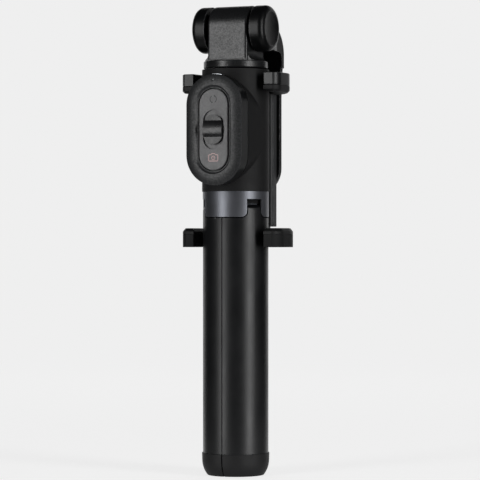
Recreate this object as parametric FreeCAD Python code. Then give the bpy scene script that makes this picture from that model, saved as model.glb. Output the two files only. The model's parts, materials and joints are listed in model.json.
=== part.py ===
import FreeCAD, Part
import math
import os

# Folding selfie stick with tripod legs, phone clamp and detachable remote control. Millimetres.
# The origin is the middle of the foot end, on the handle's axis. +Z points up the handle,
# -Y is the front, where the remote sits, and +Y is the back, where the folded clamp hangs.

V = FreeCAD.Vector
UP = V(0, 0, 1)
RIGHT = V(1, 0, 0)
BACK = V(0, 1, 0)

# ---- driving dimensions ----

TOTAL_HEIGHT = 190.0

# handle: three legs that close to a tube
LEG_R = 13.3
LEG_INNER_R = 11.0
LINER_INNER_R = 9.2
LEG_SEAM = 0.4
LEG_ANGLES = {"right": -30.0, "left": 210.0, "rear": 90.0}
FOOT_TOP = 9.1
FOOT_TOP_R = 13.68
FOOT_FLAT_R = 11.4
STUB_TOP = 15.0
LINER_TOP = 97.5

# leg hinge and its hub
HUB_BOTTOM = 104.5
HUB_TOP = 114.8
HUB_R = 12.4
COLLAR_R = 13.4
HINGE_R = 10.4
HINGE_Z = 106.5
BARREL_R = 2.9
LUG_HALF = 3.05
SLOT_HALF = 3.7
SLOT_TOP = 109.8
SLOT_IN = 6.0
NICHE_R = 11.0
NICHE_TOP = 111.5
LEAF_THICK = 0.25
NOTCH_HALF = 3.6
NOTCH_TOP = 111.7
NOTCH_FLARE_R = 2.1
LEG_TOP_GAP = 0.45
SWING_MARGIN = 0.22
LEG_ROOT_Z = 98.0
PIN_R = 0.9
PIN_HALF = 5.0
SKIRT_R = 8.8
SKIRT_DEPTH = 1.7
SCREW_REACH = 9.7
SCREW_R = 1.0
SCREW_HEAD_R = 1.8
SCREW_TOP = 120.0

# body and the dock for the remote
BODY_R = 13.65
BODY_TOP = 164.2
BODY_INNER_R = 12.0
BODY_FLOOR = 121.0
DOCK_Y = -14.2
DOCK_Z = 139.2
DOCK_HALF = 10.0
DOCK_R = 12.2
DOCK_RECESS = 1.4
DOCK_INSET = 1.5
BLEND_Y = -1.7
BLEND_HALF = 5.0
CAP_BOTTOM = 156.0
CAP_BORE_R = 7.6

# telescopic pole: outer radius of each section, fixed tube first
SECTION_R = [7.0, 6.2, 5.4, 4.6, 3.8]
TUBE_WALL = 0.4
SECTION_BOTTOM = [60.0, 62.5, 63.5, 64.5, 65.5]
SECTION_TOP = [160.0, 160.8, 161.6, 162.4, 163.2]
BUSH_LENGTH = 10.0
GLIDE_LENGTH = 6.0
FERRULE = 0.7
RUNNING_GAP = 0.05

# swivel head and hinge barrel
SPINDLE_R = 3.0
NECK_TOP = 164.3
DISC_BOTTOM = 164.6
DISC_TOP = 167.6
DISC_R = 13.0
KNUCKLE_HALF = 8.75
KNUCKLE_DEPTH = 8.6
BARREL_HEAD_R = 9.4
BARREL_Z = TOTAL_HEIGHT - BARREL_HEAD_R
DISC_EASE = 0.5
KNUCKLE_ROUND = 1.1
HOLLOW_R = 3.0
RELIEF_DEPTH = 0.7
RELIEF_HEIGHT = 0.6
SPINDLE_TOP = 169.5
SPINDLE_GAP = 0.06
NECK_HEAD_R = 4.1
NECK_SCREW_R = 1.3
NECK_SCREW_BOTTOM = 159.0
NECK_FLANGE_R = 7.2
HINGE_PIN_R = 3.0
KNUCKLE_BORE_R = 5.0
EAR_INNER = 10.0
EAR_OUTER = 16.0
EAR_ROUND = 2.4
CAP_R = 6.9
CAP_RECESS = 0.6
CAP_DISH = 0.35
HINGE_PIN_HALF = 15.0
WASHER_R = 6.6

# arm that hangs behind the handle
ARM_FRONT = 20.9
ARM_BACK = 23.0
ARM_HALF = 10.3
ARM_END_Z = 124.7
ARM_SHOULDER_HALF = 11.4
ARM_SHOULDER_Z = 172.0
BRIDGE_BOTTOM = 172.46
KNUCKLE_GAP = 0.5
GUSSET_TUCK = 0.4
RIVET_R = 2.5
RIVET_HEAD_R = 4.2
RIVET_SEAT = 1.1
COVER_DEPTH = 0.5
COVER_MARGIN = 2.2
COVER_TOP = 161.0

# phone clamp
CHANNEL_HALF = 9.3
CHANNEL_FRONT = 14.9
CHANNEL_SPLIT = 16.5
CHANNEL_BACK = 20.7
CHANNEL_BOTTOM = 100.7
CAVITY_HALF = 7.3
CAVITY_BACK = 19.5
CAVITY_TOP = 151.0
RAIL_HALF = 7.0
RAIL_FRONT = 16.8
RAIL_BACK = 19.2
RAIL_TOP = 148.0
RAIL_ROOT = 1.6
RAIL_STOP = 3.0
RAIL_SLOT_HALF = 2.0
RAIL_SLOT_BOTTOM = 108.0
JAW_INNER_R = 14.9
TIP_Y = -7.35
# half width, start of the prong's outer corner, the corner's middle, its end, the middle of the back's bow
JAW_PLAN = {
    "upper": (21.7, 19.6, (21.2, -5.6), -3.4, (17.4, 13.5)),
    "lower": (22.2, 19.0, (21.4, -5.0), -1.5, (18.4, 14.6)),
}
JAW_DEPTH = 7.7
PAD = 2.6
JAW_EASE = 0.5
PAD_BEVEL = {"upper": (0.9, 0.7), "lower": (1.3, 1.0)}
SPRING_BOTTOM = 109.0
SPRING_PITCH = 1.9
SPRING_R = 1.2
SPRING_WIRE_R = 0.22
UPPER_JAW = 154.9
LOWER_JAW = 92.3

# remote control
REMOTE_BACK = -14.6
REMOTE_EDGE = -20.8
REMOTE_CREST = -22.0
REMOTE_WALL = 1.2
CREST_R = 8.0
GROOVE_R = 7.05
GROOVE_FLOOR = -21.1
THROAT_R = 6.75
PANEL_R = 6.35
PANEL_FRONT = -21.5
PANEL_BACK = -20.3
WINDOW_R = 4.5
WINDOW_HALF = 3.45
WINDOW_FLOOR = -20.65
KNOB_R = 4.2
KNOB_HALF = 1.7
KNOB_BACK = -20.9
KNOB_FRONT = -23.0
KNOB_STEM = 1.2
TRUNNION_R = 0.22
TRUNNION_Y = -20.6
TRUNNION_HALF = 7.1
PORT_HALF = 2.75
PORT_FRONT = -19.3
PORT_BACK = -16.8
PORT_BOTTOM = 157.3
PORT_WALL = 0.3
PORT_LIP = 0.25
LIGHT_Z = DOCK_Z + DOCK_HALF + 9.9
LIGHT_R = 0.5
LIGHT_TIP_R = 0.36
LIGHT_FRONT = -21.7
LIGHT_STEP = -21.35
LIGHT_BACK = -19.6
BEZEL_BACK = -20.35
PILLAR_R = 1.5
PILLAR_BORE_R = 0.7
PILLAR_MEET = -18.65
SCREW_TIP = -20.0
SWITCH_OFFSET = 11.5
SWITCH_GAP = 0.25
BOARD_R = 6.8
PILLARS = [(x, z) for x in (-8.5, 8.5) for z in (DOCK_Z - 8.0, DOCK_Z + 8.0)]
BOARD_FRONT = -18.6
BOARD_BACK = -17.8


# ---- helpers ----

def save(name, shape):
    if isinstance(shape, list):
        shape = Part.makeCompound(shape)
    shape.exportStep(f"parts/{name}.step")
    bad = [s for s in shape.Solids if not s.isValid()]
    size = shape.BoundBox
    print(f"{name:20s} solids {len(shape.Solids)} faces {len(shape.Faces):3d} bad {len(bad)} "
          f"x {size.XMin:.2f} {size.XMax:.2f} y {size.YMin:.2f} {size.YMax:.2f} "
          f"z {size.ZMin:.2f} {size.ZMax:.2f}")


def box(x0, x1, y0, y1, z0, z1):
    return Part.makeBox(x1 - x0, y1 - y0, z1 - z0, V(x0, y0, z0))


def disc(radius, z0, z1, x=0.0, y=0.0):
    return Part.makeCylinder(radius, z1 - z0, V(x, y, z0), UP)


def ring(outer, inner, z0, z1):
    return disc(outer, z0, z1).cut(disc(inner, z0, z1))


def rod_x(radius, x0, x1, y, z):
    return Part.makeCylinder(radius, x1 - x0, V(x0, y, z), RIGHT)


def rod_y(radius, y0, y1, x, z):
    return Part.makeCylinder(radius, y1 - y0, V(x, y0, z), BACK)


def turned(shape, angle):
    """The shape turned about the handle's axis."""
    copy = shape.copy()
    copy.rotate(V(0, 0, 0), UP, angle)
    return copy


def mirrored_x(shape):
    return shape.mirror(V(0, 0, 0), RIGHT)


def outline(path, place):
    """A face from a path of points; a point given as a pair (through, end) makes an arc."""
    edges = []
    start = path[0]
    for step in path[1:] + [path[0]]:
        if isinstance(step[0], tuple):
            through, end = step
            edges.append(Part.Arc(place(start), place(through), place(end)).toShape())
            start = end
        elif step != start:
            edges.append(Part.makeLine(place(start), place(step)))
            start = step
    return Part.Face(Part.Wire(edges))


def prism_x(path, x0, x1):
    """A (y, z) outline carried along X."""
    return outline(path, lambda p: V(x0, p[0], p[1])).extrude(V(x1 - x0, 0, 0))


def prism_y(path, y0, y1):
    """An (x, z) outline carried along Y."""
    return outline(path, lambda p: V(p[0], y0, p[1])).extrude(V(0, y1 - y0, 0))


def prism_z(path, z0, z1):
    """An (x, y) outline carried along Z."""
    return outline(path, lambda p: V(p[0], p[1], z0)).extrude(V(0, 0, z1 - z0))


def lathe(path):
    """A (radius, z) outline turned about the handle's axis."""
    return outline(path, lambda p: V(p[0], 0, p[1])).revolve(V(0, 0, 0), UP, 360)


def stadium_wire(radius, half, y):
    """A round-ended slot outline, upright in the plane at y, centred on the dock."""
    top = DOCK_Z + half
    low = DOCK_Z - half
    edges = [
        Part.Arc(V(radius, y, top), V(0, y, top + radius), V(-radius, y, top)).toShape(),
        Part.makeLine(V(-radius, y, top), V(-radius, y, low)),
        Part.Arc(V(-radius, y, low), V(0, y, low - radius), V(radius, y, low)).toShape(),
        Part.makeLine(V(radius, y, low), V(radius, y, top)),
    ]
    return Part.Wire(edges)


def slab(radius, y0, y1, half=DOCK_HALF):
    """A round-ended plate, upright, centred on the dock."""
    return Part.Face(stadium_wire(radius, half, y0)).extrude(V(0, y1 - y0, 0))


def racetrack(path, half=DOCK_HALF):
    """A (distance from the middle line, y) section carried round the dock's round-ended track."""
    top = DOCK_Z + half
    low = DOCK_Z - half
    section = outline(path, lambda p: V(p[0], p[1], low))
    side = section.extrude(V(0, 0, top - low))
    lower = section.revolve(V(0, 0, low), BACK, 180)
    upper = outline(path, lambda p: V(p[0], p[1], top)).revolve(V(0, 0, top), BACK, -180)
    return side.fuse([mirrored_x(side), lower, upper]).removeSplitter()


# ---- legs, modelled with the leg's middle on +X and then turned into place ----

def leg_wedge():
    """The third of a circle that one leg keeps, less half a seam on each side."""
    reach = 30.0
    apex = LEG_SEAM / 2 / math.sin(math.radians(60))
    far = (apex + reach * math.cos(math.radians(60)), reach * math.sin(math.radians(60)))
    path = [(apex, 0.0), (far[0], -far[1]), (reach, -far[1]), (reach, far[1]), far]
    return prism_z(path, -1.0, 120.0)


def swing_clearance():
    """What a leg must leave free beside its lug, so that it clears the collar and the hub."""
    drop = HINGE_Z - HUB_BOTTOM
    flare_z = HUB_BOTTOM + NOTCH_FLARE_R
    flare_y = NOTCH_HALF + NOTCH_FLARE_R
    first, last, steps = NOTCH_HALF - 0.05, NOTCH_HALF + 5.05, 24
    path = [(0.0, first)]
    for i in range(steps + 1):
        y = first + (last - first) * i / steps
        inside = max(0.0, NOTCH_FLARE_R ** 2 - max(0.0, flare_y - y) ** 2)
        edge_drop = HINGE_Z - (flare_z - math.sqrt(inside))
        collar = math.hypot(edge_drop, math.sqrt(COLLAR_R ** 2 - y ** 2) - HINGE_R)
        hub = math.hypot(drop, max(0.0, math.sqrt(HUB_R ** 2 - y ** 2) - HINGE_R))
        path.append((max(collar, hub) + SWING_MARGIN, y))
    path.append((0.0, last))
    side = outline(path, lambda p: V(HINGE_R + p[0], p[1], HINGE_Z))
    side = side.revolve(V(HINGE_R, 0, HINGE_Z), BACK, 360)
    return side.fuse(side.mirror(V(0, 0, 0), BACK))


def lug_root():
    """The flared root that carries the hinge lug up into the collar's notch."""
    base = LEG_ROOT_Z
    top = HUB_BOTTOM - LEG_TOP_GAP
    radius = NOTCH_FLARE_R + LEG_TOP_GAP
    wide = LUG_HALF + radius
    half = radius * math.sqrt(0.5)
    turn_z = top + radius
    mid = (wide - half, turn_z - half)
    path = [(-wide, base), (wide, base), (wide, top), (mid, (LUG_HALF, turn_z)), (LUG_HALF, HINGE_Z + 0.1),
            (-LUG_HALF, HINGE_Z + 0.1), (-LUG_HALF, turn_z), ((-mid[0], mid[1]), (-wide, top))]
    face = outline(path, lambda p: V(LINER_INNER_R, p[0], p[1]))
    return face.extrude(V(LEG_R, 0, 0))


def leg_shell():
    top = HUB_BOTTOM - LEG_TOP_GAP
    tube = ring(LEG_R, LEG_INNER_R, FOOT_TOP, top).common(leg_wedge())
    shell = tube.fuse(lug_root()).cut(swing_clearance())
    shell = shell.fuse(rod_y(BARREL_R, -LUG_HALF, LUG_HALF, HINGE_R, HINGE_Z))
    shell = shell.common(disc(LEG_R, 0, HUB_TOP))
    return shell.cut(rod_y(PIN_R + RUNNING_GAP, -LEG_R, LEG_R, HINGE_R, HINGE_Z)).removeSplitter()


def leg_liner():
    return ring(LEG_INNER_R, LINER_INNER_R, STUB_TOP, LINER_TOP).common(leg_wedge())


def leg_foot():
    path = [(0.0, 0.0), (FOOT_FLAT_R, 0.0), ((12.85, 2.45), (13.6, 6.2)), (FOOT_TOP_R, FOOT_TOP),
            (0.0, FOOT_TOP)]
    stub = ring(LEG_INNER_R, LINER_INNER_R, FOOT_TOP, STUB_TOP)
    return lathe(path).fuse(stub).common(leg_wedge()).removeSplitter()


# ---- hub, collar and body: the part of the handle that stays still ----

def collar_notch():
    flare_z = HUB_BOTTOM + NOTCH_FLARE_R
    wide = NOTCH_HALF + NOTCH_FLARE_R
    half = NOTCH_FLARE_R * math.sqrt(0.5)
    low = HUB_BOTTOM - 1.0
    path = [(wide, low), (wide, HUB_BOTTOM), ((wide - half, flare_z - half), (NOTCH_HALF, flare_z)),
            (NOTCH_HALF, NOTCH_TOP), (-NOTCH_HALF, NOTCH_TOP), (-NOTCH_HALF, flare_z),
            ((-wide + half, flare_z - half), (-wide, HUB_BOTTOM)), (-wide, low)]
    return outline(path, lambda p: V(HINGE_R, p[0], p[1])).extrude(V(LEG_R, 0, 0))


def collar_ring():
    collar = ring(COLLAR_R, HUB_R, HUB_BOTTOM, HUB_TOP)
    for angle in LEG_ANGLES.values():
        collar = collar.cut(turned(collar_notch(), angle))
    return collar


def screw_places():
    """Hub screws stand between the lugs."""
    turns = [math.radians(angle + 180) for angle in LEG_ANGLES.values()]
    return [(SCREW_REACH * math.cos(turn), SCREW_REACH * math.sin(turn)) for turn in turns]


def leg_hub():
    """The hub, with a short skirt that closes the sight line above the legs."""
    skirt = ring(SKIRT_R, SECTION_R[0], HUB_BOTTOM - SKIRT_DEPTH, HUB_BOTTOM)
    hub = ring(HUB_R, SECTION_R[0], HUB_BOTTOM, HUB_TOP).fuse(skirt)
    niche = box(NICHE_R, COLLAR_R, -SLOT_HALF, SLOT_HALF, HUB_BOTTOM - 1, NICHE_TOP)
    slot = box(SLOT_IN, COLLAR_R, -SLOT_HALF, SLOT_HALF, HUB_BOTTOM - 1, SLOT_TOP)
    slot = slot.fuse([niche, rod_y(PIN_R, -PIN_HALF, PIN_HALF, HINGE_R, HINGE_Z)])
    for angle in LEG_ANGLES.values():
        hub = hub.cut(turned(slot, angle))
    for x, y in screw_places():
        hub = hub.cut(disc(SCREW_HEAD_R + 0.1, HUB_BOTTOM - SKIRT_DEPTH, HUB_BOTTOM + 2.0, x, y))
        hub = hub.cut(disc(SCREW_R, HUB_BOTTOM, HUB_TOP, x, y))
    return hub.removeSplitter()


def leg_pins():
    pin = rod_y(PIN_R, -PIN_HALF, PIN_HALF, HINGE_R, HINGE_Z)
    return [turned(pin, angle) for angle in LEG_ANGLES.values()]


def click_springs():
    """A leaf spring above each lug gives the leg its click at open and closed."""
    leaf = box(HINGE_R - 2.1, NICHE_R, -LUG_HALF + 0.45, LUG_HALF - 0.45, SLOT_TOP - LEAF_THICK, SLOT_TOP)
    return [turned(leaf, angle) for angle in LEG_ANGLES.values()]


def hub_screws():
    screws = []
    for x, y in screw_places():
        head = disc(SCREW_HEAD_R, HUB_BOTTOM + 0.5, HUB_BOTTOM + 2.0, x, y)
        socket = disc(0.7, HUB_BOTTOM + 0.5, HUB_BOTTOM + 1.4, x, y)
        shank = disc(SCREW_R, HUB_BOTTOM + 2.0, SCREW_TOP, x, y)
        screws.append(head.fuse(shank).cut(socket).removeSplitter())
    return screws


def body_sleeve():
    front = stadium_wire(DOCK_R - 0.1, DOCK_HALF, DOCK_Y)
    waist = math.sqrt(BODY_R ** 2 - BLEND_Y ** 2)
    rear = stadium_wire(waist, BLEND_HALF, BLEND_Y)
    saddle = Part.makeLoft([front, rear], True, True)
    body = disc(BODY_R, HUB_TOP, BODY_TOP).fuse(saddle)
    body = body.cut(disc(BODY_INNER_R, BODY_FLOOR, BODY_TOP))
    body = body.cut(disc(SECTION_R[0], HUB_TOP, BODY_FLOOR))
    body = body.cut(slab(DOCK_R - DOCK_INSET, DOCK_Y, DOCK_Y + DOCK_RECESS))
    for x, y in screw_places():
        body = body.cut(disc(SCREW_R, HUB_TOP, SCREW_TOP, x, y))
    return body.removeSplitter()


def dock_plate():
    """The insert that the remote snaps on to, with a finger dip at its lower end."""
    face = DOCK_Y + 0.8
    dip_r, dip_depth = 2.0, 0.3
    plate = slab(DOCK_R - DOCK_INSET, face, DOCK_Y + DOCK_RECESS)
    return plate.cut(rod_y(dip_r, face, face + dip_depth, 0.0, DOCK_Z - 14.0))


def top_cap():
    lower = ring(BODY_INNER_R, SECTION_R[0], CAP_BOTTOM, SECTION_TOP[0])
    return lower.fuse(ring(BODY_INNER_R, CAP_BORE_R, SECTION_TOP[0], BODY_TOP)).removeSplitter()


# ---- telescopic pole ----

def tube(i):
    return ring(SECTION_R[i], SECTION_R[i] - TUBE_WALL, SECTION_BOTTOM[i], SECTION_TOP[i])


def bush(i):
    """The guide in the mouth of one section, which the next section slides in."""
    bore = SECTION_R[i + 1] + RUNNING_GAP
    top = SECTION_TOP[i]
    sleeve = ring(SECTION_R[i] - TUBE_WALL, bore, top - BUSH_LENGTH, top)
    return sleeve.fuse(ring(SECTION_R[i], bore, top, top + FERRULE)).removeSplitter()


def glide(i):
    """The friction collar round the foot of a sliding section."""
    room = SECTION_R[i - 1] - TUBE_WALL - RUNNING_GAP
    return ring(room, SECTION_R[i], SECTION_BOTTOM[i], SECTION_BOTTOM[i] + GLIDE_LENGTH)


def tube_plug():
    bottom = SECTION_BOTTOM[0]
    return disc(SECTION_R[0], bottom - 1.5, bottom).fuse(
        disc(SECTION_R[0] - TUBE_WALL, bottom, bottom + 1.8)).removeSplitter()


def neck_plug():
    top = SECTION_TOP[4]
    plug = disc(SECTION_R[4] - TUBE_WALL, top - 12.0, top)
    spindle_top = SPINDLE_TOP + 0.1
    plug = plug.fuse([disc(NECK_FLANGE_R, top, NECK_TOP), disc(SPINDLE_R, NECK_TOP, spindle_top)])
    return plug.cut(disc(NECK_SCREW_R, NECK_SCREW_BOTTOM, spindle_top)).removeSplitter()


# ---- swivel head ----

def knuckle_block():
    """Upright whose flat front runs smoothly into its round top, with eased uprights."""
    depth = KNUCKLE_DEPTH
    turn_z = TOTAL_HEIGHT - depth
    reach = depth * math.sqrt(0.5)
    path = [(-depth, DISC_TOP), (-depth, turn_z), ((-reach, turn_z + reach), (0.0, TOTAL_HEIGHT)),
            ((reach, turn_z + reach), (depth, turn_z)), (depth, DISC_TOP)]
    block = prism_x(path, -KNUCKLE_HALF, KNUCKLE_HALF)
    rims = [e for e in block.Edges if e.BoundBox.XLength < 0.01 and e.BoundBox.ZMax > DISC_TOP + 0.01]
    return block.makeFillet(KNUCKLE_ROUND, rims)


def knuckle_fillets():
    """Hollow rounds where the sides of the upright meet the disc."""
    r = HOLLOW_R
    x0 = KNUCKLE_HALF
    z0 = DISC_TOP
    knee = r * (1 - math.sqrt(0.5))
    side = prism_y([(x0 - 2, z0), (x0 + r, z0), ((x0 + knee, z0 + knee), (x0, z0 + r)), (x0 - 2, z0 + r)],
                   KNUCKLE_ROUND - KNUCKLE_DEPTH, KNUCKLE_DEPTH - KNUCKLE_ROUND)
    return [side, mirrored_x(side)]


def knuckle_relief():
    """The shadow line that lifts the flat front off the disc."""
    return box(-KNUCKLE_HALF, KNUCKLE_HALF, -KNUCKLE_DEPTH, -KNUCKLE_DEPTH + RELIEF_DEPTH,
               DISC_TOP, DISC_TOP + RELIEF_HEIGHT)


def swivel_base():
    ease = DISC_EASE
    knee = ease * (1 - math.sqrt(0.5))
    plate = lathe([(0.0, DISC_BOTTOM), (DISC_R - ease, DISC_BOTTOM),
                   ((DISC_R - knee, DISC_BOTTOM + knee), (DISC_R, DISC_BOTTOM + ease)),
                   (DISC_R, DISC_TOP - ease),
                   ((DISC_R - knee, DISC_TOP - knee), (DISC_R - ease, DISC_TOP)), (0.0, DISC_TOP)])
    upper = knuckle_block().fuse(knuckle_fillets()).common(disc(DISC_R - ease, DISC_TOP, TOTAL_HEIGHT))
    base = plate.fuse(upper).cut(knuckle_relief())
    base = base.cut(disc(SPINDLE_R + SPINDLE_GAP, DISC_BOTTOM, SPINDLE_TOP))
    base = base.cut(disc(NECK_HEAD_R + 0.3, SPINDLE_TOP, BARREL_Z - KNUCKLE_BORE_R + 1.4))
    return base.cut(rod_x(KNUCKLE_BORE_R, -KNUCKLE_HALF, KNUCKLE_HALF, 0.0, BARREL_Z)).removeSplitter()


def neck_screw():
    seat = SPINDLE_TOP + 0.1
    top = seat + 1.6
    shank = disc(NECK_SCREW_R, NECK_SCREW_BOTTOM, seat)
    slot = box(-2.6, 2.6, -0.4, 0.4, top - 0.6, top)
    return shank.fuse(disc(NECK_HEAD_R, seat, top).cut(slot)).removeSplitter()


def knuckle_bush():
    return rod_x(KNUCKLE_BORE_R, -KNUCKLE_HALF, KNUCKLE_HALF, 0.0, BARREL_Z).cut(
        rod_x(HINGE_PIN_R + RUNNING_GAP, -KNUCKLE_HALF, KNUCKLE_HALF, 0.0, BARREL_Z))


# ---- arm with its two hinge ears ----

def ear():
    solid = rod_x(BARREL_HEAD_R, EAR_INNER, EAR_OUTER, 0.0, BARREL_Z)
    rim = [e for e in solid.Edges if abs(e.BoundBox.XMin - EAR_OUTER) < 0.01 and e.BoundBox.XLength < 0.01]
    return solid.makeFillet(EAR_ROUND, rim)


def arm_gusset():
    """The bent root that joins both ears to the arm behind the knuckle."""
    z = BARREL_Z
    lean = math.radians(60)
    reach = BARREL_HEAD_R - GUSSET_TUCK
    root = (reach * math.cos(lean), z + reach * math.sin(lean))
    side = prism_x([(0.0, z), root, (15.5, z + 1.6), ((20.8, 178.0), (ARM_BACK, ARM_SHOULDER_Z)),
                    (ARM_BACK, 166.0), (ARM_FRONT, 166.0), (ARM_FRONT, 169.5),
                    ((20.0, 171.6), (17.9, BRIDGE_BOTTOM)), (root[0], BRIDGE_BOTTOM)], -20, 20)
    wide = EAR_OUTER - EAR_ROUND - 0.2
    bow = (wide - 0.6, 11.5)
    plan = [(-wide, 0.0), (wide, 0.0), (wide, 6.5), (bow, (ARM_SHOULDER_HALF, 15.5)),
            (ARM_SHOULDER_HALF, 25.0), (-ARM_SHOULDER_HALF, 25.0), (-ARM_SHOULDER_HALF, 15.5),
            ((-bow[0], bow[1]), (-wide, 6.5))]
    room = BARREL_HEAD_R + KNUCKLE_GAP
    body = side.common(prism_z(plan, 160, TOTAL_HEIGHT))
    return body.cut(box(-EAR_INNER, EAR_INNER, -1, room, 160, TOTAL_HEIGHT))


def arm_blade():
    """The flat blade, a little wider at its shoulder, with a full round end."""
    path = [(ARM_HALF, ARM_END_Z), (ARM_HALF, 154.0), (10.7, 164.0), (ARM_SHOULDER_HALF, ARM_SHOULDER_Z),
            (-ARM_SHOULDER_HALF, ARM_SHOULDER_Z), (-10.7, 164.0), (-ARM_HALF, 154.0), (-ARM_HALF, ARM_END_Z),
            ((0.0, ARM_END_Z - ARM_HALF), (ARM_HALF, ARM_END_Z))]
    blade = prism_y(path, ARM_FRONT, ARM_BACK)
    blade = blade.cut(arm_cover())
    blade = blade.cut(rod_y(RIVET_HEAD_R + 0.2, ARM_BACK - RIVET_SEAT, ARM_BACK, 0.0, ARM_END_Z))
    return blade.cut(rod_y(RIVET_R, ARM_FRONT, ARM_BACK, 0.0, ARM_END_Z))


def arm_cover():
    """A thin plate let into the back of the arm, over the rivet."""
    half = ARM_HALF - COVER_MARGIN
    return prism_y([(half, ARM_END_Z), (half, COVER_TOP), ((0.0, COVER_TOP + 2.2), (-half, COVER_TOP)),
                    (-half, ARM_END_Z), ((0.0, ARM_END_Z - half), (half, ARM_END_Z))],
                   ARM_BACK - COVER_DEPTH, ARM_BACK)


def arm_yoke():
    right = ear()
    yoke = right.fuse([mirrored_x(right), arm_gusset(), arm_blade()]).removeSplitter()
    seat = EAR_OUTER - CAP_RECESS
    for x0, x1 in ((seat, EAR_OUTER), (-EAR_OUTER, -seat)):
        yoke = yoke.cut(rod_x(CAP_R, x0, x1, 0.0, BARREL_Z))
    return yoke.cut(hinge_pin()).removeSplitter()


def hinge_pin():
    return rod_x(HINGE_PIN_R, -HINGE_PIN_HALF, HINGE_PIN_HALF, 0.0, BARREL_Z)


def hinge_caps():
    """Shallow dished discs that close the ears."""
    seat = EAR_OUTER - CAP_RECESS
    middle = EAR_OUTER - CAP_DISH
    cap = outline([(seat, 0.0), (middle, 0.0), ((middle + 0.1, CAP_R / 2), (EAR_OUTER, CAP_R)), (seat, CAP_R)],
                  lambda p: V(p[0], 0, BARREL_Z + p[1])).revolve(V(0, 0, BARREL_Z), RIGHT, 360)
    return [cap, mirrored_x(cap)]


def hinge_washers():
    washer = rod_x(WASHER_R, KNUCKLE_HALF + 0.1, EAR_INNER, 0.0, BARREL_Z)
    washer = washer.cut(rod_x(HINGE_PIN_R, KNUCKLE_HALF, EAR_INNER, 0.0, BARREL_Z))
    return [washer, mirrored_x(washer)]


def pivot_rivet():
    seat = ARM_BACK - RIVET_SEAT
    shank = rod_y(RIVET_R, CAVITY_BACK, seat, 0.0, ARM_END_Z)
    return shank.fuse(rod_y(RIVET_HEAD_R, seat, ARM_BACK - COVER_DEPTH, 0.0, ARM_END_Z)).removeSplitter()


def pivot_washer():
    return rod_y(6.0, CHANNEL_BACK, ARM_FRONT, 0.0, ARM_END_Z).cut(
        rod_y(RIVET_R, CHANNEL_BACK, ARM_FRONT, 0.0, ARM_END_Z))


# ---- phone clamp ----

def channel_back():
    low, high = CHANNEL_BOTTOM, UPPER_JAW + PAD
    shell = box(-CHANNEL_HALF, CHANNEL_HALF, CHANNEL_SPLIT, CHANNEL_BACK, low, high)
    edges = [e for e in shell.Edges if e.BoundBox.ZLength > 10 and e.BoundBox.YMax > CHANNEL_BACK - 0.01]
    shell = shell.makeFillet(0.8, edges)
    shell = shell.cut(box(-CAVITY_HALF, CAVITY_HALF, CHANNEL_SPLIT, CAVITY_BACK, low, CAVITY_TOP))
    shell = shell.cut(rod_y(RIVET_R, CAVITY_BACK, CHANNEL_BACK, 0.0, ARM_END_Z))
    return shell.cut(parting_groove())


def channel_cover():
    low, high = CHANNEL_BOTTOM, UPPER_JAW + PAD
    cover = box(-CHANNEL_HALF, CHANNEL_HALF, CHANNEL_FRONT, CHANNEL_SPLIT, low, high)
    edges = [e for e in cover.Edges if e.BoundBox.ZLength > 10 and e.BoundBox.YMin < CHANNEL_FRONT + 0.01]
    return cover.makeFillet(0.6, edges).cut(parting_groove())


def parting_groove():
    """The fine line down each side where the two channel halves meet."""
    half = 0.2
    groove = box(CHANNEL_HALF - 0.3, CHANNEL_HALF + 1, CHANNEL_SPLIT - half, CHANNEL_SPLIT + half,
                 CHANNEL_BOTTOM - 1, UPPER_JAW + PAD)
    return groove.fuse(mirrored_x(groove))


def jaw_plan(jaw, inset=0.0):
    """Half of the C, seen from above, from the prong's tip round to the middle of the back."""
    mid = JAW_INNER_R * math.sqrt(0.5)
    half, corner_x, knee, corner_y, bulge = JAW_PLAN[jaw]
    outer = half - inset
    return [(15.4 + inset, TIP_Y + inset), (corner_x, TIP_Y + inset),
            ((knee[0] - inset, knee[1] + inset / 2), (outer, corner_y)), (outer, 4.0),
            ((bulge[0] - inset * 0.8, bulge[1] - inset * 0.8), (CHANNEL_HALF, CHANNEL_BACK - inset)),
            (0.0, CHANNEL_BACK - inset), (0.0, JAW_INNER_R + inset),
            ((mid + inset * 0.7, mid + inset * 0.7), (JAW_INNER_R + inset, 0.0))]


def jaw_body(jaw, z0, z1):
    """The hard part of a jaw, with its prong corners eased."""
    right = prism_z(jaw_plan(jaw), z0, z1)
    body = right.fuse(mirrored_x(right)).removeSplitter()
    upright = [e for e in body.Edges if e.BoundBox.ZLength > z1 - z0 - 0.01 and e.BoundBox.XLength < 0.01
               and e.BoundBox.YMax < TIP_Y + 0.01]
    return body.makeFillet(JAW_EASE, upright)


def jaw_pads(jaw, z_face, z_root):
    """Soft pads on both prongs; the face that grips is a little smaller than the root."""
    low, high = min(z_face, z_root), max(z_face, z_root)
    rise, inset = PAD_BEVEL[jaw]
    sign = 1 if z_root > z_face else -1
    root = jaw_wire(jaw, 0.0, z_root)
    knee = jaw_wire(jaw, 0.0, z_face + sign * rise)
    face = jaw_wire(jaw, inset, z_face)
    right = Part.makeLoft([root, knee], True, True).fuse(Part.makeLoft([knee, face], True, True))
    right = right.cut(box(-1, CHANNEL_HALF + 0.05, 10, 30, low - 1, high + 1)).removeSplitter()
    return [right, mirrored_x(right)]


def jaw_wire(jaw, inset, z):
    return outline(jaw_plan(jaw, inset), lambda p: V(p[0], p[1], z)).OuterWire


def upper_jaw():
    return jaw_body("upper", UPPER_JAW + PAD, UPPER_JAW + JAW_DEPTH)


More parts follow.
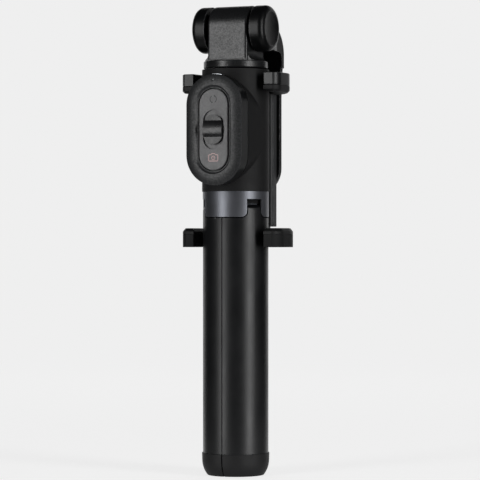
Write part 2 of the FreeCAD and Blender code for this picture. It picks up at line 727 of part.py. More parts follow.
def lower_jaw():
    jaw = jaw_body("lower", LOWER_JAW, LOWER_JAW + JAW_DEPTH - PAD)
    shoulder = box(-CHANNEL_HALF, CHANNEL_HALF, CHANNEL_FRONT, CHANNEL_BACK,
                   LOWER_JAW + JAW_DEPTH - PAD, LOWER_JAW + JAW_DEPTH)
    jaw = jaw.fuse(shoulder).removeSplitter()
    return jaw.cut(box(-RAIL_HALF, RAIL_HALF, RAIL_FRONT, RAIL_BACK,
                       LOWER_JAW + RAIL_ROOT, LOWER_JAW + JAW_DEPTH))


def slide_rail():
    """The rail of the sliding jaw; its slot holds the spring, and its top is thickened as a stop."""
    stop_back = RAIL_BACK + 0.2
    rail = box(-RAIL_HALF, RAIL_HALF, RAIL_FRONT, RAIL_BACK, LOWER_JAW + RAIL_ROOT, RAIL_TOP)
    rail = rail.fuse(box(-RAIL_HALF, RAIL_HALF, RAIL_FRONT, stop_back, RAIL_TOP - RAIL_STOP, RAIL_TOP))
    slot = box(-RAIL_SLOT_HALF, RAIL_SLOT_HALF, RAIL_FRONT, stop_back, RAIL_SLOT_BOTTOM, RAIL_TOP)
    return rail.cut(slot).removeSplitter()


def clamp_spring():
    """The extension spring in the rail's slot, hooked to the top of the channel."""
    high = CAVITY_TOP - 0.3
    path = Part.makeHelix(SPRING_PITCH, high - SPRING_BOTTOM, SPRING_R)
    lead = V(0, 1, SPRING_PITCH / (2 * math.pi * SPRING_R))
    end = Part.Wire(Part.makeCircle(SPRING_WIRE_R, V(SPRING_R, 0, 0), lead))
    coil = Part.Wire(path.Edges).makePipeShell([end], True, True)
    coil.translate(V(0, (RAIL_FRONT + RAIL_BACK) / 2, SPRING_BOTTOM))
    return coil


# ---- remote control ----

def remote_base():
    tub = racetrack([(0.0, REMOTE_EDGE), (DOCK_R, REMOTE_EDGE), (DOCK_R, REMOTE_BACK - 0.5),
                     (DOCK_R - 0.5, REMOTE_BACK), (0.0, REMOTE_BACK)])
    floor = REMOTE_BACK - 1.0
    tub = tub.cut(slab(DOCK_R - REMOTE_WALL, REMOTE_EDGE, floor))
    boss_back = DOCK_Y + 0.65
    tub = tub.fuse(slab(DOCK_R - DOCK_INSET - 0.4, REMOTE_BACK, boss_back))
    for x, z in PILLARS:
        tub = tub.fuse(rod_y(PILLAR_R, PILLAR_MEET, floor, x, z))
    for x, z in PILLARS:
        tub = tub.cut(rod_y(PILLAR_BORE_R, PILLAR_MEET, boss_back, x, z))
        tub = tub.cut(rod_y(PILLAR_R - 0.2, REMOTE_BACK - 0.4, boss_back, x, z))
    gap = RUNNING_GAP
    port_room = box(-PORT_HALF - gap, PORT_HALF + gap, PORT_FRONT - gap, PORT_BACK + gap,
                    PORT_BOTTOM - gap, DOCK_Z + DOCK_HALF + DOCK_R + 1.0)
    return tub.cut(port_room).removeSplitter()


def remote_bezel():
    """The rim: it falls away in one round from its crest, beside the groove, to its outer edge."""
    fall = REMOTE_EDGE - REMOTE_CREST
    span = DOCK_R - CREST_R
    radius = (span ** 2 + fall ** 2) / (2 * fall)
    bow = radius - math.sqrt(radius ** 2 - (span / 2) ** 2)
    rim = racetrack([(DOCK_R, REMOTE_EDGE), ((CREST_R + span / 2, REMOTE_CREST + bow), (CREST_R, REMOTE_CREST)),
                     (CREST_R - 0.2, REMOTE_CREST), (GROOVE_R, GROOVE_FLOOR), (THROAT_R, GROOVE_FLOOR),
                     (THROAT_R, BEZEL_BACK), (DOCK_R - REMOTE_WALL, BEZEL_BACK),
                     (DOCK_R - REMOTE_WALL, REMOTE_EDGE)])
    for x, z in PILLARS:
        rim = rim.fuse(rod_y(PILLAR_R, BEZEL_BACK, PILLAR_MEET, x, z))
        rim = rim.cut(rod_y(PILLAR_BORE_R, SCREW_TIP, PILLAR_MEET, x, z))
    rim = rim.cut(trunnions(TRUNNION_R + RUNNING_GAP, TRUNNION_HALF + 0.1))
    return rim.cut(rod_y(LIGHT_R, REMOTE_CREST - 1, LIGHT_BACK, 0.0, LIGHT_Z)).removeSplitter()


def status_light():
    """A light pipe whose tip is thinner than its hole, so that a dark ring shows round it."""
    pipe = rod_y(LIGHT_R, LIGHT_STEP, LIGHT_BACK, 0.0, LIGHT_Z)
    return pipe.fuse(rod_y(LIGHT_TIP_R, LIGHT_FRONT, LIGHT_STEP, 0.0, LIGHT_Z)).removeSplitter()


def remote_board():
    board = slab(BOARD_R, BOARD_FRONT, BOARD_BACK, DOCK_HALF + 3.2)
    return board.cut(box(-3.0, 3.0, BOARD_FRONT, BOARD_BACK, DOCK_Z + 17.8, DOCK_Z + 21.0))


def remote_battery():
    cell = box(-6.6, 6.6, BOARD_BACK, REMOTE_BACK - 1.05, DOCK_Z - 11.0, DOCK_Z + 11.0)
    edges = [e for e in cell.Edges if e.BoundBox.ZLength > 10]
    return cell.makeFillet(0.6, edges)


def key_switches():
    """Two push switches under the ends of the key panel, and the slide switch under the knob."""
    switches = []
    for z in (DOCK_Z - SWITCH_OFFSET, DOCK_Z + SWITCH_OFFSET):
        can = box(-2.0, 2.0, BOARD_FRONT - 0.75, BOARD_FRONT, z - 1.6, z + 1.6)
        switches.append(can.fuse(rod_y(0.9, BOARD_FRONT - 1.1, BOARD_FRONT - 0.75, 0.0, z)).removeSplitter())
    switches.append(box(-2.6, 2.6, BOARD_FRONT - 0.7, BOARD_FRONT, DOCK_Z - 4.0, DOCK_Z + 4.0))
    return switches


def charge_port():
    """A socket whose mouth follows the remote's round end and stands a little proud of it."""
    top = DOCK_Z + DOCK_HALF + DOCK_R + PORT_LIP
    floor = PORT_BOTTOM + 0.5
    wall = PORT_WALL
    shell = box(-PORT_HALF, PORT_HALF, PORT_FRONT, PORT_BACK, PORT_BOTTOM, top)
    inside = box(-PORT_HALF + wall, PORT_HALF - wall, PORT_FRONT + wall, PORT_BACK - wall, floor, top)
    middle = (PORT_FRONT + PORT_BACK) / 2
    tongue = box(-1.7, 1.7, middle - 0.25, middle + 0.25, floor, top - 0.5)
    mouth = rod_y(DOCK_R + PORT_LIP, PORT_FRONT, PORT_BACK, 0.0, DOCK_Z + DOCK_HALF)
    return shell.cut(inside).fuse(tongue).common(mouth).removeSplitter()


def remote_screws():
    screws = []
    for x, z in PILLARS:
        shank = rod_y(PILLAR_BORE_R, SCREW_TIP, REMOTE_BACK - 0.4, x, z)
        head = rod_y(1.25, REMOTE_BACK - 0.4, DOCK_Y + 0.45, x, z)
        head = head.cut(rod_y(0.45, DOCK_Y - 0.1, DOCK_Y + 0.45, x, z))
        screws.append(shank.fuse(head).removeSplitter())
    return screws


def key_panel():
    """The rocking key, pressed at its upper or lower end, with the knob's window in its middle."""
    ease = 0.35
    panel = racetrack([(0.0, PANEL_FRONT), (PANEL_R - ease, PANEL_FRONT), (PANEL_R, PANEL_FRONT + ease),
                       (PANEL_R, PANEL_BACK), (0.0, PANEL_BACK)])
    panel = panel.cut(slab(WINDOW_R, PANEL_FRONT, WINDOW_FLOOR, WINDOW_HALF))
    panel = panel.cut(slab(KNOB_STEM + 0.3, WINDOW_FLOOR, PANEL_BACK, 2.6))
    for z in (DOCK_Z - SWITCH_OFFSET, DOCK_Z + SWITCH_OFFSET):
        panel = panel.fuse(rod_y(1.0, PANEL_BACK, PANEL_BACK + SWITCH_GAP, 0.0, z))
    return panel.fuse(trunnions(TRUNNION_R, TRUNNION_HALF)).removeSplitter()


def trunnions(radius, reach):
    """Pegs on both sides of the key panel, on the line that it rocks about."""
    root = PANEL_R - 0.5
    return [rod_x(radius, x0, x1, TRUNNION_Y, DOCK_Z) for x0, x1 in ((-reach, -root), (root, reach))]


def zoom_knob():
    """Round-ended thumb slide: a scoop above, a ridge, a fine groove, and a foot behind the panel."""
    knob = slab(KNOB_R, KNOB_FRONT, KNOB_BACK, KNOB_HALF)
    z = DOCK_Z
    face = [(KNOB_BACK, z - 6.0), (-22.05, z - 6.0), (-22.2, z - 2.95), (-22.0, z - 2.85), (-22.35, z - 2.65),
            ((-22.85, z - 1.3), (KNOB_FRONT, z + 0.3)), ((-22.6, z + 1.7), (-21.65, z + 3.65)),
            (-22.05, z + 6.0), (KNOB_BACK, z + 6.0)]
    knob = knob.common(prism_x(face, -6.0, 6.0))
    stem = slab(KNOB_STEM, KNOB_BACK, PANEL_BACK + SWITCH_GAP, 0.8)
    foot = box(-2.4, 2.4, PANEL_BACK + SWITCH_GAP, BOARD_FRONT - 0.8, z - 2.4, z + 2.4)
    return knob.fuse([stem, foot]).removeSplitter()


# ---- write every piece ----

os.makedirs("parts", exist_ok=True)

for side, angle in LEG_ANGLES.items():
    save(f"leg_{side}_shell", turned(leg_shell(), angle))
    save(f"leg_{side}_liner", turned(leg_liner(), angle))
    save(f"leg_{side}_foot", turned(leg_foot(), angle))

save("collar_ring", collar_ring())
save("leg_hub", leg_hub())
save("leg_pins", leg_pins())
save("click_springs", click_springs())
save("hub_screws", hub_screws())
save("body_sleeve", body_sleeve())
save("dock_plate", dock_plate())
save("top_cap", top_cap())

save("outer_tube", tube(0))
save("outer_bush", bush(0))
save("tube_plug", tube_plug())
for number in (1, 2, 3, 4):
    save(f"pole_{number}_tube", tube(number))
    save(f"pole_{number}_glide", glide(number))
for number in (1, 2, 3):
    save(f"pole_{number}_bush", bush(number))
save("neck_plug", neck_plug())
save("neck_screw", neck_screw())

save("swivel_base", swivel_base())
save("knuckle_bush", knuckle_bush())
save("hinge_pin", hinge_pin())
save("hinge_washers", hinge_washers())
save("hinge_caps", hinge_caps())
save("arm_yoke", arm_yoke())
save("arm_cover", arm_cover())
save("pivot_rivet", pivot_rivet())
save("pivot_washer", pivot_washer())

save("channel_back", channel_back())
save("channel_cover", channel_cover())
save("upper_jaw", upper_jaw())
save("upper_jaw_pads", jaw_pads("upper", UPPER_JAW, UPPER_JAW + PAD))
save("lower_jaw", lower_jaw())
save("lower_jaw_pads", jaw_pads("lower", LOWER_JAW + JAW_DEPTH, LOWER_JAW + JAW_DEPTH - PAD))
save("slide_rail", slide_rail())
save("clamp_spring", clamp_spring())

save("remote_base", remote_base())
save("remote_bezel", remote_bezel())
save("remote_board", remote_board())
save("remote_battery", remote_battery())
save("key_switches", key_switches())
save("status_light", status_light())
save("charge_port", charge_port())
save("remote_screws", remote_screws())
save("key_panel", key_panel())
save("zoom_knob", zoom_knob())
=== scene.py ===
# %% [markdown]
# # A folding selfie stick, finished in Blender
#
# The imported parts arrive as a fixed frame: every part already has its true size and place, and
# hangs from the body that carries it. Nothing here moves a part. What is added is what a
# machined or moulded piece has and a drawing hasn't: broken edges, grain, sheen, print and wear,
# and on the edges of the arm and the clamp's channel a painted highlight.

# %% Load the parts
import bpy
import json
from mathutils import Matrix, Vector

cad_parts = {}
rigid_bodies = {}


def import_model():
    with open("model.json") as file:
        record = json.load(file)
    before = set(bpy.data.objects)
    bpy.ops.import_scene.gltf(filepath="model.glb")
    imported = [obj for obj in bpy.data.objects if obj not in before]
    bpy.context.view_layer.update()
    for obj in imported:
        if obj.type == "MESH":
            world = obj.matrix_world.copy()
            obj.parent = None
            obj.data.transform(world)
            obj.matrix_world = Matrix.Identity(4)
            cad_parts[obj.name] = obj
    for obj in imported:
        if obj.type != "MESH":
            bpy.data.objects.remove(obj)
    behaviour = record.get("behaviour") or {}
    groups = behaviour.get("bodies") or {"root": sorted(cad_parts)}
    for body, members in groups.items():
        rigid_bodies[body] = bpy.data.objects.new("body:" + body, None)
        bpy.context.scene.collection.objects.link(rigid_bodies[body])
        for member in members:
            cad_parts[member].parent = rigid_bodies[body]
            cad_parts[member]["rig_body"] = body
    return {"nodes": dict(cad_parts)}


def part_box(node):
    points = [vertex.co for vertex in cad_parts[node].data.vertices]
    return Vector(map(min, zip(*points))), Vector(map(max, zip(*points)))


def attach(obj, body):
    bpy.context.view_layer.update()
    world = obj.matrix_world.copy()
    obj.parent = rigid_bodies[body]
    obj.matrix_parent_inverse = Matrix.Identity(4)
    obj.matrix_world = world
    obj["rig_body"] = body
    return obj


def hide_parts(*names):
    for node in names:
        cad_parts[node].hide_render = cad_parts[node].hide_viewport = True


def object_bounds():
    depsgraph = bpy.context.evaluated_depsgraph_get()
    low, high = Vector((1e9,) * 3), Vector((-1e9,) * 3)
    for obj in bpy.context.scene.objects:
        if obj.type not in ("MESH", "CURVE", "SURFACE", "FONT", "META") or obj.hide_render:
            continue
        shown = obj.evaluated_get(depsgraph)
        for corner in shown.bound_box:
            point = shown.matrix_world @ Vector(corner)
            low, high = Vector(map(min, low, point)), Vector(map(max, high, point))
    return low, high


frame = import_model()
cad_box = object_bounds()

# %% [markdown]
# ## Units and small helpers
#
# Blender works in metres and the drawing in millimetres, so one factor turns one into the other.
# Colours are written as a paint chart gives them, in sRGB, and one function makes them linear,
# because a renderer adds light and light adds linearly. One function adds any shader node, one
# turns a finished form into a mesh, and one puts a new object in the scene.

# %% Units, colours and nodes
import json
import math

import bmesh
import bpy
from mathutils import Vector

MM = 0.001


def per_mm(size):
    """The texture scale that makes a pattern's features this many millimetres wide."""
    return 1.0 / (size * MM)


def linear(colour):
    """An sRGB hex colour as linear red, green, blue and alpha."""
    channels = [int(colour[i:i + 2], 16) / 255 for i in (1, 3, 5)]
    return [c / 12.92 if c <= 0.04045 else ((c + 0.055) / 1.055) ** 2.4 for c in channels] + [1.0]


def add(tree, kind, feeds, **options):
    """Adds one node. Feeds are values or links, by socket name or number; options are its own."""
    made = tree.nodes.new("ShaderNode" + kind)
    for option, value in options.items():
        setattr(made, option, value)
    for socket, value in feeds.items():
        if isinstance(value, bpy.types.NodeSocket):
            tree.links.new(value, made.inputs[socket])
        else:
            made.inputs[socket].default_value = value
    return made


def mesh_from(form, name, material=None):
    """A mesh made from a finished form, which is then let go."""
    mesh = bpy.data.meshes.new(name)
    form.to_mesh(mesh)
    form.free()
    if material:
        mesh.materials.append(material)
    return mesh


def placed(name, data):
    """A new object in the scene."""
    thing = bpy.data.objects.new(name, data)
    bpy.context.scene.collection.objects.link(thing)
    return thing


print("one millimetre is", MM, "of Blender's units")

# %% [markdown]
# ## A surface, layer by layer
#
# A real surface is never one even colour. Five layers are enough for everything on this object:
# a plain shader with the material's own gloss; patches where hands have polished or dulled it;
# a fine relief that the tool or the coating left; humps that mirror more than hollows; and edges
# painted another colour, which on most parts is wear that rubbed them brighter and on the arm and
# the clamp's channel is a painted highlight. A material names the layers it needs, each with its
# own settings.
# Painting image textures would do it too, but a procedure has no seams and keeps its true scale.
#
# A noise pattern keeps mostly to the middle of its range, so each layer names the two noise values
# that count as its low and its high. An edge is found where a rounded normal parts from the true
# one: the edge colour starts at the first value of their match and is full at the second.

# %% The five layers
PATCH_NOISE = (0.3, 0.7)
HUMP_NOISE = (0.35, 0.65)
RUN_NOISE = (0.4, 0.62)
EDGE_MATCH = (0.99, 0.88)
RUN_MM = 3.0


def plain(name, colour, roughness, metallic=0.0, **sockets):
    """A new material whose even values sit on the shader's own sockets."""
    material = bpy.data.materials.new(name)
    material.use_nodes = True
    shader = material.node_tree.nodes["Principled BSDF"]
    shader.inputs["Base Color"].default_value = linear(colour)
    shader.inputs["Roughness"].default_value = roughness
    shader.inputs["Metallic"].default_value = metallic
    for socket, value in sockets.items():
        shader.inputs[socket.replace("_", " ")].default_value = value
    return material, material.node_tree, shader


def handled(tree, shader, spread, patch_mm, tone=0.18):
    """Uneven sheen and tone, in soft patches of this size."""
    place = add(tree, "TexCoord", {})
    patches = add(tree, "TexNoise", {"Vector": place.outputs["Object"], "Scale": per_mm(patch_mm),
                                     "Detail": 4.0, "Roughness": 0.6})
    rough = shader.inputs["Roughness"].default_value
    sheen = add(tree, "MapRange", {"Value": patches.outputs["Fac"],
                                   "From Min": PATCH_NOISE[0], "From Max": PATCH_NOISE[1],
                                   "To Min": rough - spread, "To Max": rough + spread})
    tree.links.new(sheen.outputs[0], shader.inputs["Roughness"])
    colour = list(shader.inputs["Base Color"].default_value)
    dark = [c * (1 - tone) for c in colour[:3]] + [1.0]
    light = [c * (1 + tone) for c in colour[:3]] + [1.0]
    tint = add(tree, "Mix", {0: patches.outputs["Fac"], 6: dark, 7: light}, data_type="RGBA")
    tree.links.new(tint.outputs[2], shader.inputs["Base Color"])
    return tint.outputs[2]


def relief(tree, shader, grain_mm, height_mm, stretch=(1, 1, 1), detail=2.0):
    """Fine bumps of this width and height; stretch draws them out along an axis."""
    place = add(tree, "TexCoord", {})
    drawn = add(tree, "Mapping", {"Vector": place.outputs["Object"], "Scale": stretch})
    grain = add(tree, "TexNoise", {"Vector": drawn.outputs[0], "Scale": per_mm(grain_mm),
                                   "Detail": detail, "Roughness": 0.55})
    bump = add(tree, "Bump", {"Height": grain.outputs["Fac"], "Strength": 1.0,
                              "Distance": height_mm * MM})
    tree.links.new(bump.outputs[0], shader.inputs["Normal"])


def pebbles(tree, shader, size_mm, depth):
    """The bright and dark of a pebbled skin, which mirrors more from a hump than from a hollow."""
    place = add(tree, "TexCoord", {})
    humps = add(tree, "TexNoise", {"Vector": place.outputs["Object"], "Scale": per_mm(size_mm),
                                   "Detail": 2.0, "Roughness": 0.6})
    level = shader.inputs["Specular IOR Level"].default_value
    gloss = add(tree, "MapRange", {"Value": humps.outputs["Fac"],
                                   "From Min": HUMP_NOISE[0], "From Max": HUMP_NOISE[1],
                                   "To Min": level * (1 - depth), "To Max": level * (1 + depth)})
    tree.links.new(gloss.outputs[0], shader.inputs["Specular IOR Level"])


# Edge colour: real wear on most parts, a painted highlight on the arm and the clamp's channel.
def rubbed_and_highlit_edges(tree, shader, tint, colour, width_mm, amount):
    """Edges painted another colour where a rounded normal leaves the true one, in broken runs.

    On most parts this is wear; on the arm and the clamp's channel it is a painted highlight.
    """
    soft = add(tree, "Bevel", {"Radius": width_mm * MM}, samples=4)
    true = add(tree, "NewGeometry", {})
    match = add(tree, "VectorMath", {0: soft.outputs[0], 1: true.outputs["Normal"]},
                operation="DOT_PRODUCT")
    edge = add(tree, "MapRange", {"Value": match.outputs["Value"],
                                  "From Min": EDGE_MATCH[0], "From Max": EDGE_MATCH[1],
                                  "To Min": 0.0, "To Max": amount})
    place = add(tree, "TexCoord", {})
    broken = add(tree, "TexNoise", {"Vector": place.outputs["Object"], "Scale": per_mm(RUN_MM),
                                    "Detail": 5.0, "Roughness": 0.7})
    runs = add(tree, "MapRange", {"Value": broken.outputs["Fac"],
                                  "From Min": RUN_NOISE[0], "From Max": RUN_NOISE[1]})
    share = add(tree, "Math", {0: edge.outputs[0], 1: runs.outputs[0]}, operation="MULTIPLY")
    worn_and_highlit = add(tree, "Mix", {0: share.outputs[0], 6: tint, 7: linear(colour)}, data_type="RGBA")
    tree.links.new(worn_and_highlit.outputs[2], shader.inputs["Base Color"])


def layered(name, colour, roughness, sheen, grain=None, humps=None, edge_wear_and_highlight=None, **sockets):
    """A material made of the layers it needs, each given by that layer's own settings."""
    material, tree, shader = plain(name, colour, roughness, **sockets)
    tint = handled(tree, shader, **sheen)
    if grain:
        relief(tree, shader, **grain)
    if humps:
        pebbles(tree, shader, **humps)
    if edge_wear_and_highlight:
        rubbed_and_highlit_edges(tree, shader, tint, **edge_wear_and_highlight)
    return material


print("layers: plain, handled, relief, pebbles, rubbed")

# %% [markdown]
# ## Coated and anodised aluminium
#
# The legs are extruded aluminium under a black powder coat. Powder melts into a skin with a faint
# orange peel, about half a millimetre from hump to hump, and the edges of the seam rub grey.
# The collar is aluminium too, bead-blasted and anodised a blue grey: a metal, so it mirrors in
# its own colour, but through a satin grain. The blasting is finer than a render can show, so it
# is drawn a little coarser.

# %% Legs and collar
powder_coated = layered(
    "powder_coated_aluminium", "#0F1012", roughness=0.39, IOR=1.54,
    sheen=dict(spread=0.05, patch_mm=16.0),
    grain=dict(grain_mm=0.5, height_mm=0.008, detail=3.0),
    edge_wear_and_highlight=dict(colour="#3A3C3F", width_mm=0.5, amount=0.6))
anodised_grey = layered(
    "bead_blasted_anodised_aluminium", "#787A80", roughness=0.42, metallic=0.85,
    sheen=dict(spread=0.04, patch_mm=9.0, tone=0.1),
    grain=dict(grain_mm=0.6, height_mm=0.022, detail=3.0),
    edge_wear_and_highlight=dict(colour="#A9AEB4", width_mm=0.3, amount=0.5))
print("metal finishes:", powder_coated.name, anodised_grey.name)

# %% [markdown]
# ## Moulded plastics
#
# The housing is ABS under a soft-touch paint: a very fine, even grain and a wide, dull highlight.
# The remote's rim is bare ABS with a finely textured skin. Its tub, the dock and the upper jaw are
# satin ABS, which shows a tighter highlight. The clamp's channel is dark grey nylon, the arm and
# its ears a satin black one, filled with glass so that they hold the phone stiffly. The hub's
# nylon is dull, and the hinge caps, of the same resin, are polished. The knuckle's tool was
# spark-eroded, which leaves a dense pebble that catches light from the side. These plastics bend
# light about equally, near 1.53, so gloss and grain tell them apart. A pebble is drawn twice: as
# bumps, and as humps that mirror more than the hollows between them, because the bumps alone
# average out to an even grey from a metre away.

# %% Housing, jaws and knuckle
def black_nylon(name, roughness):
    """Black nylon without glass; two parts differ only in how polished they are."""
    return layered(name, "#050506", roughness, Specular_IOR_Level=0.2,
                   sheen=dict(spread=0.04, patch_mm=4.0),
                   grain=dict(grain_mm=0.4, height_mm=0.004))


housing = layered(
    "soft_touch_painted_abs", "#161617", roughness=0.66, IOR=1.5, Specular_IOR_Level=0.4,
    sheen=dict(spread=0.05, patch_mm=11.0),
    grain=dict(grain_mm=0.5, height_mm=0.012, detail=4.0),
    edge_wear_and_highlight=dict(colour="#2E2F31", width_mm=0.4, amount=0.5))
rim_abs = layered(
    "fine_textured_abs", "#2F3031", roughness=0.45, IOR=1.54,
    sheen=dict(spread=0.04, patch_mm=9.0, tone=0.12),
    grain=dict(grain_mm=0.6, height_mm=0.03, detail=4.0),
    humps=dict(size_mm=0.7, depth=0.4),
    edge_wear_and_highlight=dict(colour="#434446", width_mm=0.4, amount=0.4))
# The light grey on the arm's edges is a painted highlight, for the light its rounded edges catch.
arm_nylon = layered(
    "satin_glass_filled_nylon", "#08090A", roughness=0.36, Specular_IOR_Level=0.36,
    sheen=dict(spread=0.04, patch_mm=9.0),
    grain=dict(grain_mm=0.5, height_mm=0.012, detail=4.0),
    edge_wear_and_highlight=dict(colour="#8C8D8F", width_mm=0.5, amount=0.9))
hub_nylon = black_nylon("black_hub_nylon", roughness=0.6)
cap_nylon = black_nylon("polished_cap_nylon", roughness=0.34)
# The near-white on the channel's edges is a painted highlight too, for light caught by its edges.
channel_finish = layered(
    "dark_grey_moulded_nylon", "#3F4041", roughness=0.48, IOR=1.53,
    sheen=dict(spread=0.05, patch_mm=10.0),
    grain=dict(grain_mm=0.5, height_mm=0.015, detail=3.0),
    edge_wear_and_highlight=dict(colour="#A2A3A4", width_mm=0.4, amount=0.9))
satin = layered(
    "satin_moulded_abs", "#121314", roughness=0.36, IOR=1.53,
    sheen=dict(spread=0.05, patch_mm=12.0),
    grain=dict(grain_mm=0.45, height_mm=0.006, detail=3.0),
    edge_wear_and_highlight=dict(colour="#333436", width_mm=0.35, amount=0.45))
pebbled = layered(
    "spark_eroded_glass_filled_nylon", "#212223", roughness=0.32, IOR=1.58,
    sheen=dict(spread=0.05, patch_mm=8.0),
    grain=dict(grain_mm=0.6, height_mm=0.05, detail=5.0),
    humps=dict(size_mm=0.55, depth=0.3),
    edge_wear_and_highlight=dict(colour="#3C3D3E", width_mm=0.4, amount=0.5))
plastics = (housing, rim_abs, arm_nylon, hub_nylon, cap_nylon, channel_finish, satin, pebbled)
print("plastics:", ", ".join(material.name for material in plastics))

# %% [markdown]
# ## The remote's key and thumb slide
#
# The key panel is ABS under a metallic grey paint, a good deal lighter than the rim; the flakes in
# it are drawn as a faint pebble. The thumb slide is bare ABS polished by use. The small light is a
# milky polycarbonate pipe.

# %% Key, thumb slide and light pipe
panel_paint = layered(
    "metallic_grey_painted_abs", "#616162", roughness=0.35, IOR=1.5,
    sheen=dict(spread=0.04, patch_mm=7.0, tone=0.08),
    grain=dict(grain_mm=0.6, height_mm=0.014, detail=3.0),
    humps=dict(size_mm=0.7, depth=0.3))
thumb_abs = layered(
    "thumb_polished_abs", "#1A1B1C", roughness=0.3, IOR=1.53,
    sheen=dict(spread=0.06, patch_mm=3.0),
    grain=dict(grain_mm=0.4, height_mm=0.004),
    edge_wear_and_highlight=dict(colour="#4A4B4D", width_mm=0.3, amount=0.5))
light_pipe = layered(
    "milky_polycarbonate", "#55575A", roughness=0.25, IOR=1.58,
    sheen=dict(spread=0.03, patch_mm=1.0, tone=0.05))
print("remote finishes:", panel_paint.name, thumb_abs.name, light_pipe.name)

# %% [markdown]
# ## Rubber, guides and liners
#
# Feet and pads are moulded silicone rubber: matt, with a bloom that lightens them in patches. The
# lower jaw has a soft skin moulded over it, duller than the satin of the upper one. The sliding
# guides and the washers are acetal, a waxy plastic that is never painted. The legs' liners are
# black nylon with the dull streaks that extrusion leaves along their length.

# %% Feet, pads, guides and liners
def silicone(name, colour, bloom):
    """Silicone rubber of this colour, with edges of the bloom's colour."""
    return layered(name, colour, roughness=0.58, IOR=1.43,
                   sheen=dict(spread=0.06, patch_mm=6.0, tone=0.25),
                   grain=dict(grain_mm=0.45, height_mm=0.02, detail=4.0),
                   edge_wear_and_highlight=dict(colour=bloom, width_mm=0.5, amount=0.5))


overmould = layered(
    "overmoulded_elastomer", "#111213", roughness=0.68, IOR=1.48, Specular_IOR_Level=0.4,
    sheen=dict(spread=0.05, patch_mm=7.0),
    grain=dict(grain_mm=0.45, height_mm=0.012, detail=4.0),
    edge_wear_and_highlight=dict(colour="#2C2D2E", width_mm=0.4, amount=0.4))
foot_rubber = silicone("foot_silicone_rubber", "#19191A", bloom="#2E2E30")
pad_rubber = silicone("pad_silicone_rubber", "#131314", bloom="#303032")
guide = layered(
    "natural_black_acetal", "#1B1C1D", roughness=0.33, IOR=1.48,
    sheen=dict(spread=0.05, patch_mm=5.0),
    grain=dict(grain_mm=0.4, height_mm=0.004))
liner = layered(
    "extruded_black_nylon", "#151617", roughness=0.5, IOR=1.53,
    sheen=dict(spread=0.06, patch_mm=14.0),
    grain=dict(grain_mm=0.5, height_mm=0.012, stretch=(1, 1, 0.04), detail=3.0))
print("soft and sliding:", foot_rubber.name, pad_rubber.name, guide.name, liner.name)

# %% [markdown]
# ## Bare metals
#
# The fixed tube is aluminium, anodised black. The pole's sliding sections are stainless tube,
# drawn and polished. Fine lines run along both. Screws and pins are turned steel under zinc.
# Springs are blued wire and strip. A metal keeps the shader's own refractive index: its colour
# already says how it reflects.

# %% Pole, fasteners and springs
stainless = layered(
    "drawn_stainless_steel", "#C9CBCD", roughness=0.16, metallic=1.0,
    sheen=dict(spread=0.05, patch_mm=10.0, tone=0.05),
    grain=dict(grain_mm=0.4, height_mm=0.003, stretch=(1, 1, 0.02), detail=4.0))
black_metal = layered(
    "black_anodised_aluminium", "#1C1D1F", roughness=0.3, metallic=0.6,
    sheen=dict(spread=0.05, patch_mm=12.0),
    grain=dict(grain_mm=0.4, height_mm=0.005, stretch=(1, 1, 0.04), detail=3.0))
zinc = layered(
    "zinc_plated_steel", "#A8ABAF", roughness=0.26, metallic=1.0,
    sheen=dict(spread=0.08, patch_mm=2.5, tone=0.15),
    grain=dict(grain_mm=0.4, height_mm=0.006, detail=3.0),
    edge_wear_and_highlight=dict(colour="#D5D7D9", width_mm=0.2, amount=0.5))
blued = layered(
    "blued_spring_steel", "#6E7278", roughness=0.28, metallic=1.0,
    sheen=dict(spread=0.08, patch_mm=3.0, tone=0.2))
print("bare metals:", stainless.name, black_metal.name, zinc.name, blued.name)

# %% [markdown]
# ## Inside the remote
#
# The board is glass-epoxy under green lacquer, with a weave that shows faintly through it. The
# cell is a flat pouch in silvery laminate, creased where it was sealed.

# %% Board and cell
WEAVE_MM = 1.2


def lacquered_board():
    """Two greens that alternate in a fine weave."""
    material, tree, shader = plain("green_lacquered_glass_epoxy", "#123A24",
                                   roughness=0.3, IOR=1.55)
    place = add(tree, "TexCoord", {})
    weave = add(tree, "TexWave", {"Vector": place.outputs["Object"], "Scale": per_mm(WEAVE_MM),
                                  "Distortion": 0.5}, bands_direction="DIAGONAL")
    tint = add(tree, "Mix", {0: weave.outputs["Fac"], 6: linear("#10331F"), 7: linear("#184A2E")},
               data_type="RGBA")
    tree.links.new(tint.outputs[2], shader.inputs["Base Color"])
    return material


board = lacquered_board()
pouch = layered(
    "aluminium_pouch_laminate", "#9EA2A6", roughness=0.38, metallic=0.9,
    sheen=dict(spread=0.08, patch_mm=4.0),
    grain=dict(grain_mm=2.0, height_mm=0.05, detail=3.0))
print("inside:", board.name, pouch.name)

# %% [markdown]
# ## Broken edges
#
# No edge on a moulded or machined piece is truly sharp: tools have radii, and sharp edges are
# tumbled or coated round. That radius is what draws the thin bright line along every edge, so it
# has to be real geometry. Rounding could be done in the drawing, or with a shader trick that
# leaves the outline sharp. Here a copy of most parts is welded, its flat faces are joined, and a
# Bevel modifier rounds every edge that turns sharply. The copy stands for the part. The table
# gives each such part its radius in millimetres and its finish.

# %% Round the edges of a copy
SHARP_TURN = math.radians(32)
SMOOTH_TURN = math.radians(40)
FLAT_TURN = math.radians(0.4)
WELD = 0.004 * MM
EDGE_STEPS = 3


def welded(mesh):
    """The same form with its seams welded and its flat faces made whole."""
    form = bmesh.new()
    form.from_mesh(mesh)
    bmesh.ops.remove_doubles(form, verts=form.verts, dist=WELD)
    bmesh.ops.dissolve_limit(form, angle_limit=FLAT_TURN, verts=form.verts, edges=form.edges)
    return mesh_from(form, mesh.name + "_welded")


